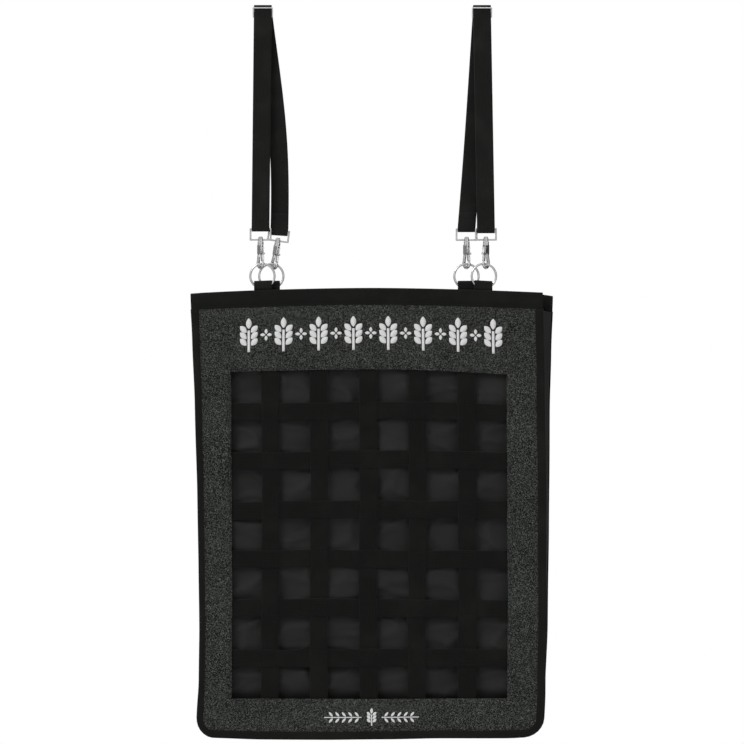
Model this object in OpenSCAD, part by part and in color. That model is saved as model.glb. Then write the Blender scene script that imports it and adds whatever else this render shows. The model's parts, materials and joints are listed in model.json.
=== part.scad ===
// Hay bag with a webbing grid window, hung on two straps with trigger snaps.
// Origin on the axis of the rail that the straps loop over. +Z up, the front faces -Y.

/* [Bag] */
// Width of the front and back panels
bag_w = 493; // [440:1:540]
// Height of the panels
bag_h = 626; // [600:1:660]
// Height of the bag's top edge below the rail axis
bag_drop = 394.5; // [394:0.5:396]
// Sideways offset of each panel from the middle, front to the left and back to the right
panel_shift = 7; // [0:0.5:10]
// Angle each panel leans away from the other, which opens the bag towards its bottom
lean = 1.5; // [1:0.1:3]
// Radius of the bottom corners
corner_r = 26; // [12:1:40]
// Thickness of the panel fabric
fabric_t = 1.4; // [1:0.1:1.6]

/* [Window] */
// Width of the window in the front panel
window_w = 386; // [360:1:390]
// Height of the window
window_h = 458; // [440:1:462]
// Depth of the border above the window
window_drop = 112; // [106:1:116]
// Sideways offset of the window in the front panel
window_shift = 2; // [0:0.5:4]
// Number of upright strips
uprights = 5; // [5:1:5]
// Number of cross strips
crosses = 6; // [6:1:6]
// Spacing of the upright strips
upright_pitch = 68.6; // [66:0.2:70]
// Spacing of the cross strips
cross_pitch = 68.9; // [66:0.1:70]

/* [Webbing] */
// Width of all webbing
web_w = 25; // [24:0.5:25]
// Thickness of the strap webbing
web_t = 1.4; // [1.2:0.1:1.4]
// Thickness of the top bands and bindings
band_t = 1.2; // [1:0.1:1.2]
// Visible depth of the top bands
band_h = 22; // [18:1:25]
// Visible width of the side and bottom binding
binding_w = 10; // [8:1:14]

/* [Straps] */
// Radius of the rail or hook that the straps loop over
rail_r = 4; // [4:0.5:4]
// Sideways place of the left strap at the rail
strap_left_x = -152; // [-154:1:-150]
// Sideways place of the right strap at the rail
strap_right_x = 154.5; // [153:0.5:156]
// Length of the sewn tail at the back snaps
sewn_tail = 24; // [18:1:30]

/* [Hardware] */
// Wire diameter of the swivel eyes
eye_wire = 2.4; // [2.4:0.1:2.4]
// Distance between the middles of the eye's side bars
eye_w = 28.2; // [28.2:0.1:29]
// Distance between the middles of the eye's top and bottom bars
eye_h = 15.5; // [15:0.5:16]
// Radius of the hook's bow to the middle of its wire
bow_r = 7; // [7:0.1:7.2]
// Radius of the hook's wire
hook_r = 2.25; // [2:0.05:2.3]
// Distance from the eye's top bar to the middle of the bow
snap_drop = 47.35; // [47:0.05:47.5]
// Angle between each hook and its ring
snap_yaw = 60; // [56:1:66]
// Mean radius of the rings
ring_r = 17; // [17:0.1:17.2]
// Radius of the ring wire
ring_wire_r = 1.5; // [1.4:0.05:1.5]
// Bar radius of the strap sliders
slider_bar_r = 1; // [0.8:0.1:1]

/* [Hidden] */
$fn = 40;

// The four hanging chains: [side of eye bar x, y, z, tilt, hook yaw, ring x, tab x]
chain_y = 4.2;
FRONT_LEFT = [-155.2, -chain_y, -308, 0, -snap_yaw, -152.6, -151.8];
BACK_LEFT = [-129.2, chain_y, -309.5, 8, -snap_yaw, -140.4, -140.8];
BACK_RIGHT = [133.2, chain_y, -308, 0, -snap_yaw, 133, 133.4];
FRONT_RIGHT = [160, -chain_y, -308, 0, snap_yaw - 180, 157.2, 156.6];
ring_z = -374.1;

// Gaps
gap = 0.3;
eye_gap = 0.35;
bore_gap = 0.08;
sewn_gap = 0.1;

// Webbing folds
fold_r = eye_wire / 2 + eye_gap + web_t / 2;
rail_fold_r = rail_r + web_t / 2;
tail_start = 8;

// Bag
mouth_y = 9.3;
panel_out = fabric_t / 2;
strip_overlap = 9;

// Slider bars: heights from the rail axis, and the two side plates
slider_top_z = 0.7;
slider_mid_z = -6.8;
slider_low_z = -11.3;
slider_side = 13.5;
slider_side_t = 1.4;

black = [0.09, 0.09, 0.09];
fleck = [0.2, 0.2, 0.2];
strip = [0.1, 0.1, 0.1];
steel = [0.8, 0.8, 0.82];

// ---------- Webbing ribbons ----------

// A vector turned about Y by angle t
function turned(v, t) = [v.x * cos(t) + v.z * sin(t), v.y, -v.x * sin(t) + v.z * cos(t)];

function unit(v) = v / norm(v);

function reversed(list) = [for (i = [len(list) - 1:-1:0]) list[i]];

function before(path, i) = path[max(i - 1, 0)][0];

function after(path, i) = path[min(i + 1, len(path) - 1)][0];

// A ribbon's width direction and its normal at point i; each path entry is [place, tilt]
function side_of(path, i) = turned([1, 0, 0], path[i][1]);

function normal_of(path, i) = unit(cross(after(path, i) - before(path, i), side_of(path, i)));

function ribbon_ring(path, i, w, t) =
    let (s = side_of(path, i) * w / 2, n = normal_of(path, i) * t / 2, p = path[i][0])
    [p - s - n, p + s - n, p + s + n, p - s + n];

// Faces of a four-sided tube. Its two broad sides are cut along the same diagonal, so a twisted strip
// keeps its thickness.
function side_faces(a, b, c, d, flip) = flip ? [[a, d, c], [a, c, b]] : [[b, a, d], [b, d, c]];

function tube_faces(rings) = concat(
    [[0, 1, 2, 3]],
    [for (i = [0:rings - 2], k = [0:3])
        let (a = 4 * i + k, b = 4 * i + (k + 1) % 4)
        each side_faces(a, b, b + 4, a + 4, k > 1)],
    [[for (k = [3:-1:0]) 4 * (rings - 1) + k]]
);

// A flat webbing of width w and thickness t along a path
module ribbon(path, w, t) {
    points = [for (i = [0:len(path) - 1]) each ribbon_ring(path, i, w, t)];
    polyhedron(points, tube_faces(len(path)));
}

// An arc in the YZ plane around the X axis, about centre c, tilted by t
function fold(c, r, from, to, steps, t) =
    [for (i = [0:steps]) let (a = from + (to - from) * i / steps)
        [c + turned([0, r * cos(a), r * sin(a)], t), t]];

function bar_of(chain) = [chain[0], chain[1], chain[2]];

// A point beside an eye's top bar, y outwards from it and z above it
function by_bar(chain, y, z) = [bar_of(chain) + turned([0, y, z], chain[3]), chain[3]];

// The strap runs up from the front eye, over the rail, down to the back eye, and is sewn to itself
function strap_path(x, front, back) = concat(
    [by_bar(front, fold_r, tail_start), by_bar(front, fold_r, 2)],
    fold(bar_of(front), fold_r, 0, -180, 12, front[3]),
    [by_bar(front, -fold_r, 2)],
    fold([x, 0, 0], rail_fold_r, 180, 0, 16, 0),
    [by_bar(back, fold_r, 2)],
    fold(bar_of(back), fold_r, 0, -180, 12, back[3]),
    [
        by_bar(back, -fold_r, 1.5),
        by_bar(back, fold_r - web_t - sewn_gap - 0.1, 11),
        by_bar(back, fold_r - web_t - sewn_gap - 0.15, sewn_tail)
    ]
);

module strap(x, front, back) {
    color(strip) ribbon(strap_path(x, front, back), web_w, web_t);
}

// ---------- Slider and the doubled length of strap behind the front leg ----------

// A point on the middle of the front leg at height z, from its tangent point on the rail
function leg_point(x, chain, z) =
    let (top = [x, -rail_fold_r, 0], low = by_bar(chain, -fold_r, 2)[0])
    top + (low - top) * (z / low.z);

wrap_r = slider_bar_r + 0.2 + web_t / 2;
tail_back = web_t + gap;
slider_bar_y = web_t / 2 + gap + web_t + 0.2 + slider_bar_r;
slider_front_y = web_t / 2 + gap + slider_bar_r;
tail_end_y = tail_back + web_t + sewn_gap - slider_bar_y;

// The tail wraps the slider's middle bar and runs down behind the front leg to the eye
function tail_path(x, chain) =
    let (c = leg_point(x, chain, slider_mid_z) + [0, slider_bar_y, 0])
    concat(
        [[c + [0, tail_end_y, -20], 0], [c + [0, tail_end_y, -13], 0], [c + [0, wrap_r, -6.5], 0]],
        fold(c, wrap_r, 0, 180, 12, 0),
        [
            [leg_point(x, chain, slider_mid_z - 12) + [0, tail_back, 0], 0],
            by_bar(chain, fold_r, tail_start + 25),
            by_bar(chain, fold_r, tail_start + sewn_gap)
        ]
    );

module strap_tail(x, chain) {
    color(strip) ribbon(tail_path(x, chain), web_w, web_t);
}

module bar(a, b, r) {
    d = b - a;
    translate(a)
        rotate([0, acos(d.z / norm(d)), atan2(d.y, d.x)])
            cylinder(h = norm(d), r = r);
}

module knob(p, r) {
    translate(p) sphere(r = r);
}

// A flat bar in the YZ plane between two places, with round ends
module link(a, b, r) {
    d = [b.y - a.y, b.z - a.z];
    translate([a.y, a.z]) circle(r = r);
    translate([b.y, b.z]) circle(r = r);
    translate([a.y, a.z]) rotate(atan2(d.y, d.x)) translate([0, -r]) square([norm(d), 2 * r]);
}

// Three cross bars joined by two bent sides; the leg passes behind the top bar and before the others
module slider(x, chain) {
    top = leg_point(x, chain, slider_top_z) - [0, slider_front_y, 0];
    mid = leg_point(x, chain, slider_mid_z) + [0, slider_bar_y, 0];
    low = leg_point(x, chain, slider_low_z) + [0, slider_bar_y, 0];
    r = slider_bar_r;
    color(steel) {
        for (p = [top, mid, low])
            translate([mid.x - slider_side, p.y, p.z])
                rotate([0, 90, 0]) cylinder(h = 2 * slider_side, r = r - 0.05);
        for (s = [-1, 1])
            translate([mid.x + s * slider_side - slider_side_t / 2, 0, 0])
                rotate([90, 0, 90]) linear_extrude(slider_side_t) {
                link(top, mid, r);
                link(mid, low, r);
            }
    }
}

// ---------- Swivel eye and trigger snap ----------

boss_r = 3.6;
boss_low = 2;
boss_high = 2.2;
stem_r = 2.02;
stem_gap = 0.4;

// The eye about its own top bar
module eye_shape() {
    side = eye_w / 2;
    r = eye_wire / 2;
    difference() {
        union() {
            for (z = [0, -eye_h])
                bar([-side, 0, z], [side, 0, z], r);
            for (x = [-side, side]) {
                bar([x, 0, -eye_h], [x, 0, 0], r);
                for (z = [0, -eye_h])
                    knob([x, 0, z], r);
            }
            translate([0, 0, -eye_h - boss_low])
                cylinder(h = boss_low + boss_high, r = boss_r);
        }
        translate([0, 0, -eye_h - boss_low - 1])
            cylinder(h = boss_low + boss_high + 2, r = stem_r + bore_gap);
    }
}

module at_eye(chain) {
    translate(bar_of(chain)) rotate([0, chain[3], 0]) children();
}

// The hook's own frame: origin in the middle of the bow, X towards the gate, Y across the plate
module at_hook(chain) {
    at_eye(chain) translate([0, 0, -snap_drop]) rotate([0, 0, chain[4]]) children();
}

plate_low = 11.5;
plate_high = 25;
plate_half = 5.4;
plate_t = 5;
plate_edge = 2.5;
plate_start = 1.5;
spine_top = [2, 0, 3];
barrel_r = 4.2;
barrel_sink = 1;
bow_tip = -12;
eye_bar_z = snap_drop - eye_h;

// Slot for the gate, and the pocket round the gate's eye
slot_t = 2.4;
slot_wall = 2.6;
slot_drop = 4;
slot_h = 12.5;
pocket_r = 3.6;

// Riveted head of the stem
stem_head_r = 3;
stem_head_t = 1.3;
stem_dome_t = 0.5;
stem_dome_r = 2.2;

// Gate and its rivet
pivot = [3, 0, 20.5];
rivet_r = 1;
head_r = 1.8;
head_t = 0.7;
blade_t = 2;
blade_eye_r = 2.9;
nose_t = 3.2;
thumb_t = 4;

module across(x, z, r, t) {
    translate([x, t / 2, z]) rotate([90, 0, 0]) cylinder(h = t, r = r);
}

module snap_shape() {
    difference() {
        union() {
            // bow
            rotate([90, 0, 0])
                rotate([0, 0, 180])
                    rotate_extrude(angle = 180 + bow_tip)
                        translate([bow_r, 0]) circle(r = hook_r, $fn = 32);
            knob([bow_r * cos(bow_tip), 0, bow_r * sin(bow_tip)], hook_r);
            knob([-bow_r, 0, 0], hook_r);
            // spine
            bar([-bow_r, 0, 0], [-plate_half, 0, plate_low] + spine_top, hook_r);
            // plate with a rounded lower edge
            translate([-plate_half, -plate_t / 2, plate_low + plate_start])
                cube([2 * plate_half, plate_t, plate_high - plate_low - plate_start]);
            across(-plate_half + plate_edge, plate_low + 2, plate_edge, plate_t);
            // barrel under the eye's boss, then the stem and its riveted head
            translate([0, 0, plate_high - barrel_sink])
                cylinder(h = eye_bar_z - boss_low - stem_gap - plate_high + barrel_sink, r = barrel_r);
            stem_shape();
        }
        // slot that the gate works in, open below and towards the gate
        translate([-plate_half + slot_wall, -slot_t / 2, plate_low - slot_drop])
            cube([2 * plate_half, slot_t, slot_h]);
        across(pivot.x, pivot.z, pocket_r, slot_t);
        translate([pivot.x, -slot_t / 2, pivot.z - pocket_r])
            cube([plate_half, slot_t, 2 * pocket_r]);
        across(pivot.x, pivot.z, rivet_r, plate_t + 2);
    }
}

module stem_shape() {
    head_z = eye_bar_z + boss_high + stem_gap;
    translate([0, 0, plate_high])
        cylinder(h = head_z - plate_high + stem_dome_t, r = stem_r);
    translate([0, 0, head_z]) cylinder(h = stem_head_t, r = stem_head_r);
    translate([0, 0, head_z + stem_head_t])
        cylinder(h = stem_dome_t, r1 = stem_head_r, r2 = stem_dome_r);
}

// The gate: an eye on the rivet, an arm down to the nose, and a thumb piece
nose = [bow_r - 0.9, 0, 2.9];
thumb = [8.6, 0, 12.6];

module gate_shape() {
    difference() {
        union() {
            across(pivot.x, pivot.z, blade_eye_r, blade_t);
            hull() {
                across(pivot.x + 0.9, pivot.z - 1.5, 1.9, blade_t);
                across(nose.x - 0.9, 12.5, 2.4, blade_t);
            }
            hull() {
                across(nose.x - 0.9, 10.6, 2.1, blade_t);
                across(nose.x, nose.z + 0.2, 1.7, nose_t);
                across(nose.x - 0.5, 8, 1.8, nose_t);
            }
            hull() {
                across(thumb.x, thumb.z, 1.2, thumb_t);
                across(nose.x - 1.5, thumb.z - 1, 1, blade_t);
            }
        }
        across(pivot.x, pivot.z, rivet_r + bore_gap, plate_t);
    }
}

module rivet_shape() {
    across(pivot.x, pivot.z, rivet_r, plate_t + head_t);
    for (s = [-1, 1])
        translate([0, s * (plate_t + head_t) / 2, 0])
            across(pivot.x, pivot.z, head_r, head_t);
}

// Leaf spring standing in the slot between its back wall and the gate
leaf_t = 0.35;
leaf_w = slot_t - 0.6;
leaf_foot = [-plate_half + slot_wall + 0.1, -leaf_w / 2, plate_low + plate_start];
leaf_h = 6.2;
leaf_reach = [1.9, 0, 3];

module spring_shape() {
    translate(leaf_foot) cube([leaf_t, leaf_w, leaf_h]);
    hull()
        for (p = [leaf_foot, leaf_foot + leaf_reach])
            translate(p) cube([leaf_t, leaf_w, leaf_t]);
}

module eye(chain) {
    color(steel) at_eye(chain) eye_shape();
}

module snap(chain) {
    color(steel) at_hook(chain) snap_shape();
}

module gate(chain) {
    color(steel) at_hook(chain) gate_shape();
}

module rivet(chain) {
    color(steel) at_hook(chain) rivet_shape();
}

module spring(chain) {
    color(steel) at_hook(chain) spring_shape();
}

// ---------- Rings and their webbing tabs ----------

module ring(chain) {
    color(steel)
        translate([chain[5], chain[1], ring_z])
            rotate([90, 0, 0])
                rotate_extrude() translate([ring_r, 0]) circle(r = ring_wire_r, $fn = 32);
}

tab_room = 1.9;
tab_crown_z = -383.8;
tab_neck_z = -391.8;
tab_close_z = -395.8;
tab_end_z = -420;
tab_bend = 5;
tab_lead = mouth_y - panel_out - sewn_gap - band_t - sewn_gap - web_t - chain_y;

function tab_outline(r) = concat(
    [for (a = [0:15:180]) [r * cos(a), tab_crown_z + r * sin(a)]],
    [[-r, tab_neck_z]]
);

// Side profile of a front tab: one webbing folded over the ring, its two ends closed below it and
// set outwards against the bag's top band
module tab_profile() {
    difference() {
        polygon(concat(
            tab_outline(tab_room + web_t),
            [
                [-web_t, tab_close_z],
                [-web_t - tab_lead, tab_close_z - tab_bend],
                [-web_t - tab_lead, tab_end_z],
                [web_t - tab_lead, tab_end_z],
                [web_t - tab_lead, tab_close_z - tab_bend],
                [web_t, tab_close_z],
                [tab_room + web_t, tab_neck_z]
            ]
        ));
        polygon(concat(tab_outline(tab_room), [[0, tab_close_z + 0.1], [tab_room, tab_neck_z]]));
    }
}

module tab(chain) {
    color(black)
        mirror([0, chain[1] > 0 ? 1 : 0, 0])
            translate([chain[6] - web_w / 2, -chain_y, 0])
                rotate([90, 0, 90]) linear_extrude(web_w) tab_profile();
}

// ---------- Bag ----------

// s is -1 for the front and 1 for the back. The panel's own frame has its origin at the middle
// of the top edge, Z up and Y outwards along the panel's normal for the back.
module at_panel(s) {
    translate([s * panel_shift, s * mouth_y, -bag_drop]) rotate([s * lean, 0, 0]) children();
}

// Outline of a panel moved out by d, its top edge at height top
function outline(d, top) =
    let (r = corner_r + d, w = bag_w / 2, h = bag_h)
    concat(
        [[-w - d, top]],
        [for (a = [180:15:270]) [-w + corner_r + r * cos(a), -h + corner_r + r * sin(a)]],
        [for (a = [270:15:360]) [w - corner_r + r * cos(a), -h + corner_r + r * sin(a)]],
        [[w + d, top]]
    );

// A flat sheet standing in the panel's plane, from depth y0 to y1
module upright_sheet(y0, y1) {
    translate([0, y1, 0]) rotate([90, 0, 0]) linear_extrude(y1 - y0) children();
}

module front_panel() {
    color(fleck) at_panel(-1) upright_sheet(-panel_out, panel_out) difference() {
        polygon(outline(0, 0));
        translate([window_shift - window_w / 2, -window_drop - window_h])
            square([window_w, window_h]);
    }
}

module back_panel() {
    color(fleck) at_panel(1) upright_sheet(-panel_out, panel_out) polygon(outline(0, 0));
}

// Band folded over the top edge: an outer leaf, a cap and an inner leaf
module top_band(s) {
    color(black) at_panel(s) for (side = [-1, 1])
        translate([-bag_w / 2, side < 0 ? -panel_out - sewn_gap - band_t : panel_out + sewn_gap, -band_h])
            cube([bag_w, band_t, band_h + sewn_gap]);
    color(black) at_panel(s)
        translate([-bag_w / 2, -panel_out - sewn_gap - band_t, sewn_gap])
            cube([bag_w, 2 * (panel_out + sewn_gap + band_t), band_t]);
}

// Binding on the outer face, wrapped round the edge of the panel
module binding(s) {
    out = panel_out + sewn_gap;
    low = s < 0 ? -out - band_t : out;
    color(black) at_panel(s) {
        upright_sheet(low, low + band_t) difference() {
            polygon(outline(band_t + sewn_gap, -band_h - 1));
            polygon(outline(-binding_w, -band_h + 1));
        }
        upright_sheet(-out, out) difference() {
            polygon(outline(band_t + sewn_gap, -band_h - 1));
            polygon(outline(sewn_gap, -band_h + 1));
        }
    }
}

// Points of the gusset at one place on the outline: outer and inner skins at both panels
function on_panel(s, p, y) =
    let (a = s * lean)
    [s * panel_shift + p.x, s * mouth_y + y * cos(a) - p.y * sin(a), -bag_drop + y * sin(a) + p.y * cos(a)];

function gusset_ring(outer, inner) = [
    on_panel(-1, outer, panel_out + sewn_gap), on_panel(1, outer, -panel_out - sewn_gap),
    on_panel(1, inner, -panel_out - sewn_gap), on_panel(-1, inner, panel_out + sewn_gap)
];

// The strip that joins the panels, along matching outer and inner outlines
module gusset(outer, inner) {
    points = [for (i = [0:len(outer) - 1]) each gusset_ring(outer[i], inner[i])];
    color(black) polyhedron(points, tube_faces(len(outer)));
}

gusset_top = -band_h - 1;
side_steps = 8;
corner_steps = 7;

// Places down the left side of an outline moved out by d; s = -1 mirrors them to the right side
function down_side(s, d) =
    [for (i = [0:side_steps])
        [s * (-bag_w / 2 - d), gusset_top + (corner_r - bag_h - gusset_top) * i / side_steps]];

function round_bottom(d) = let (p = outline(d, 0)) [for (i = [1:2 * corner_steps]) p[i]];

module gusset_left() {
    gusset(down_side(1, 0), down_side(1, -fabric_t));
}

module gusset_bottom() {
    gusset(round_bottom(0), round_bottom(-fabric_t));
}

module gusset_right() {
    gusset(reversed(down_side(-1, 0)), reversed(down_side(-1, -fabric_t)));
}

// ---------- Window grid ----------

strip_y = panel_out + sewn_gap;

// Upright number n, from the left, laid against the inner face of the front panel
module grid_upright(n) {
    x = window_shift + (n - (uprights + 1) / 2) * upright_pitch;
    color(strip) at_panel(-1)
        translate([x - web_w / 2, strip_y, -window_drop - window_h - strip_overlap])
            cube([web_w, band_t, window_h + 2 * strip_overlap]);
}

// Cross strip number n, from the top, laid behind the uprights
module grid_cross(n) {
    z = -window_drop - window_h / 2 - (n - (crosses + 1) / 2) * cross_pitch;
    color(strip) at_panel(-1)
        translate([window_shift - window_w / 2 - strip_overlap, strip_y + band_t + sewn_gap, z - web_w / 2])
            cube([window_w + 2 * strip_overlap, band_t, web_w]);
}

front_panel();
back_panel();
gusset_left();
gusset_right();
gusset_bottom();
top_band(-1);  // front_top_band
top_band(1);  // back_top_band
binding(-1);  // front_binding
binding(1);  // back_binding
grid_upright(1);  // grid_upright_1
grid_upright(2);  // grid_upright_2
grid_upright(3);  // grid_upright_3
grid_upright(4);  // grid_upright_4
grid_upright(5);  // grid_upright_5
grid_cross(1);  // grid_cross_1
grid_cross(2);  // grid_cross_2
grid_cross(3);  // grid_cross_3
grid_cross(4);  // grid_cross_4
grid_cross(5);  // grid_cross_5
grid_cross(6);  // grid_cross_6
tab(FRONT_LEFT);  // tab_front_left
tab(BACK_LEFT);  // tab_back_left
tab(BACK_RIGHT);  // tab_back_right
tab(FRONT_RIGHT);  // tab_front_right
ring(FRONT_LEFT);  // ring_front_left
ring(BACK_LEFT);  // ring_back_left
ring(BACK_RIGHT);  // ring_back_right
ring(FRONT_RIGHT);  // ring_front_right
eye(FRONT_LEFT);  // eye_front_left
eye(BACK_LEFT);  // eye_back_left
eye(BACK_RIGHT);  // eye_back_right
eye(FRONT_RIGHT);  // eye_front_right
snap(FRONT_LEFT);  // snap_front_left
snap(BACK_LEFT);  // snap_back_left
snap(BACK_RIGHT);  // snap_back_right
snap(FRONT_RIGHT);  // snap_front_right
gate(FRONT_LEFT);  // gate_front_left
gate(BACK_LEFT);  // gate_back_left
gate(BACK_RIGHT);  // gate_back_right
gate(FRONT_RIGHT);  // gate_front_right
rivet(FRONT_LEFT);  // rivet_front_left
rivet(BACK_LEFT);  // rivet_back_left
rivet(BACK_RIGHT);  // rivet_back_right
rivet(FRONT_RIGHT);  // rivet_front_right
spring(FRONT_LEFT);  // spring_front_left
spring(BACK_LEFT);  // spring_back_left
spring(BACK_RIGHT);  // spring_back_right
spring(FRONT_RIGHT);  // spring_front_right
strap(strap_left_x, FRONT_LEFT, BACK_LEFT);  // strap_left
strap(strap_right_x, FRONT_RIGHT, BACK_RIGHT);  // strap_right
strap_tail(strap_left_x, FRONT_LEFT);  // strap_tail_left
strap_tail(strap_right_x, FRONT_RIGHT);  // strap_tail_right
slider(strap_left_x, FRONT_LEFT);  // slider_left
slider(strap_right_x, FRONT_RIGHT);  // slider_right
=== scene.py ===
import json
import math

import bpy
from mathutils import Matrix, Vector, noise


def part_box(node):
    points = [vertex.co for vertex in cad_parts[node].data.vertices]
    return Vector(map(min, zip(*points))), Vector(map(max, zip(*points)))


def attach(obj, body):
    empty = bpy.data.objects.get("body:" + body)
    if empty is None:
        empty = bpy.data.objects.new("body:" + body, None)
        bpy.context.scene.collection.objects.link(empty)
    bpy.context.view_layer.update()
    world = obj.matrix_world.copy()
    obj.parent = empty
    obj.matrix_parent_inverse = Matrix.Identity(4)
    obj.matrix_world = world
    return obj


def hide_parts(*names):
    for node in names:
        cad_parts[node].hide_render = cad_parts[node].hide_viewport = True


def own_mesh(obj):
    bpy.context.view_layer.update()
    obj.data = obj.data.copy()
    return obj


# The looks of the hay bag: soft panels, woven grid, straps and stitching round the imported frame.

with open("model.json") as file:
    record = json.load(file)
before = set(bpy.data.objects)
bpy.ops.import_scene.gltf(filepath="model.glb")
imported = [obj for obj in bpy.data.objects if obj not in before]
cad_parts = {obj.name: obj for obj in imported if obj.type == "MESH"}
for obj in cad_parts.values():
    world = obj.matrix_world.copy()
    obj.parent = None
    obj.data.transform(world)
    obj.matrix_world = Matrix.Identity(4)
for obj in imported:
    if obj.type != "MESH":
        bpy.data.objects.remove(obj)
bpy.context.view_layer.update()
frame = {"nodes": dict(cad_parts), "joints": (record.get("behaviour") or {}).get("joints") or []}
MM = 0.001
JOINTS = {j["name"]: j for j in frame["joints"]}
CORNERS = ("front_left", "back_left", "back_right", "front_right")

# ---------- Sizes, in metres, as in the CAD ----------

WEB_W = 25 * MM
WEB_T = 1.4 * MM
BAND_T = 1.2 * MM
FABRIC_T = 1.4 * MM
BAND_H = 22 * MM
BINDING_W = 10 * MM
CORNER_R = 26 * MM
SEWN_GAP = 0.1 * MM
RAIL_FOLD_R = 4.7 * MM
SLIDER_BAR_R = 1 * MM
SLIDER_STEP = 4.5 * MM
EYE_FOLD_R = 2.25 * MM
LEAN = math.radians(1.5)
MOUTH_Y = 9.3 * MM

panel_low, panel_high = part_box("front_panel")
PANEL_W = panel_high[0] - panel_low[0]
TOP = panel_high[2]
PANEL_H = TOP - panel_low[2]
SHIFT = (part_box("back_panel")[0][0] - panel_low[0]) / 2
UPRIGHTS = [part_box(f"grid_upright_{n}") for n in range(1, 6)]
CROSSES = [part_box(f"grid_cross_{n}") for n in range(1, 7)]
STRIP_OVERLAP = 9 * MM
WINDOW_TOP = UPRIGHTS[0][1][2] - STRIP_OVERLAP
WINDOW_LOW = UPRIGHTS[0][0][2] + STRIP_OVERLAP
WINDOW_LEFT = CROSSES[0][0][0] + STRIP_OVERLAP
WINDOW_RIGHT = CROSSES[0][1][0] - STRIP_OVERLAP
CLOTH_FACE = FABRIC_T / 2
TAPE_GAP = CLOTH_FACE + SEWN_GAP
TAPE_FACE = TAPE_GAP + BAND_T


# ---------- Small maths ----------


def lerp(a, b, t):
    return a + (b - a) * t


def clamped(t):
    return min(1.0, max(0.0, t))


def spaced(a, b, step):
    """Evenly spaced values from a to b, about step apart."""
    n = max(1, round(abs(b - a) / step))
    return [lerp(a, b, i / n) for i in range(n + 1)]


def along(points, t):
    """A smooth curve through (place, value) points."""
    for (t0, v0), (t1, v1) in zip(points, points[1:]):
        if t <= t1:
            s = max(0.0, (t - t0) / (t1 - t0))
            return lerp(v0, v1, s * s * (3 - 2 * s) * 0.5 + s * 0.5)
    return points[-1][1]


def wave(x, y, z, size, seed=0.0):
    """Soft noise from -1 to 1 whose bumps are about size across."""
    return noise.noise(Vector((x / size + seed, y / size - seed, z / size + 0.5 * seed)))


def arc(x, y, z, radius, angles):
    """Points round (x, y, z) in the plane across the webbing, at angles in degrees from straight behind."""
    turns = [math.radians(a) for a in angles]
    return [Vector((x, y + radius * math.cos(a), z + radius * math.sin(a))) for a in turns]


# ---------- The soft shape of the bag ----------

# How far each outer edge draws in, in mm, from the top (0) to the bottom (1) of its panel
FRONT_LEFT_IN = (
    *((0, 1.4), (0.1, 4.4), (0.25, 7.8), (0.45, 11.8), (0.62, 13.6)),
    *((0.76, 14.8), (0.87, 13.8), (0.95, 11.0), (1, 9.4)),
)
FRONT_RIGHT_IN = ((0, 0.5), (0.2, -1.5), (0.45, -3), (0.7, -4), (0.9, -2), (1, 1))
BACK_LEFT_IN = ((0, 0), (0.3, 1), (0.6, 2), (1, 2))
BACK_RIGHT_IN = ((0, 0), (0.12, 3), (0.25, 4.6), (0.55, 5.7), (0.75, 7.2), (0.9, 10.4), (1, 12.6))
# How quickly a drawn-in edge fades towards the middle: an open edge, and one that a neighbour covers
OPEN_FADE, COVERED_FADE = 12, 6
MOUTH_RISE = 2.4 * MM
MOUTH_DROP = 5.6 * MM
MOUTH_REACH = 220 * MM
HEM_START = 0.88
# Soft noise over the panels, as (size of its bumps, seed), and how far it moves the cloth
DRIFT_X, DRIFT_Z, DRIFT_MOST = (0.11, 3.0), (0.13, 7.0), 0.8 * MM
SMALL_RIPPLE, SMALL_RIPPLE_MOST = (0.09, 11.0), 1.6 * MM
WIDE_RIPPLE, WIDE_RIPPLE_MOST = (0.23, 5.0), 2.6 * MM
# How far each panel's outer top corner hangs, front (-1) and back (1)
CORNER_DROP = {-1: 0.8 * MM, 1: 4 * MM}
# How far the bottom edge rises, in mm, from the left (-1) to the right (1)
HEM_LIFT = ((-1, 6.8), (-0.88, 3), (-0.6, 1), (-0.2, 0.4), (0.1, 1.4), (0.4, 2.9), (0.8, 2.7), (1, 5))


def bag_point(s, x, z, out):
    """A place on a panel, s = -1 for the front and 1 for the back, with its bowed mouth and soft folds.
    x and z are where it lies on the flat CAD panel, and out is how far outside the panel's middle it is."""
    u = (x - s * SHIFT) / (PANEL_W / 2)
    t = clamped((TOP - z) / PANEL_H)
    across = clamped((u + 1) / 2)
    if s < 0:
        dx = along(FRONT_LEFT_IN, t) * (1 - across) ** OPEN_FADE
        dx -= along(FRONT_RIGHT_IN, t) * across**COVERED_FADE
    else:
        dx = along(BACK_LEFT_IN, t) * (1 - across) ** COVERED_FADE
        dx -= along(BACK_RIGHT_IN, t) * across**OPEN_FADE
    near_top = max(0.0, 1 - t / 0.9) ** 1.3
    drop = MOUTH_DROP * min(1.3, abs(x / MOUTH_REACH)) ** 1.7
    dz = (MOUTH_RISE - drop) * near_top - CORNER_DROP[s] * max(0.0, s * u) ** 8 * near_top
    dz += along(HEM_LIFT, u) * MM * max(0.0, (t - HEM_START) / (1 - HEM_START))
    dx = dx * MM + DRIFT_MOST * wave(x, s, z, *DRIFT_X)
    dz += DRIFT_MOST * wave(x, s, z, *DRIFT_Z) * min(1.0, t * 8)
    inner = min(1.0, (1 - abs(u)) * 6) * min(1.0, t * 7) * min(1.0, (1 - t) * 9)
    ripple = SMALL_RIPPLE_MOST * wave(x, s, z, *SMALL_RIPPLE) + WIDE_RIPPLE_MOST * wave(x, s, z, *WIDE_RIPPLE)
    depth = MOUTH_Y + (TOP - z) * math.tan(LEAN) + inner * ripple + out
    return Vector((x + dx, s * depth, z + dz))


# ---------- Mesh builders ----------


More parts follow.
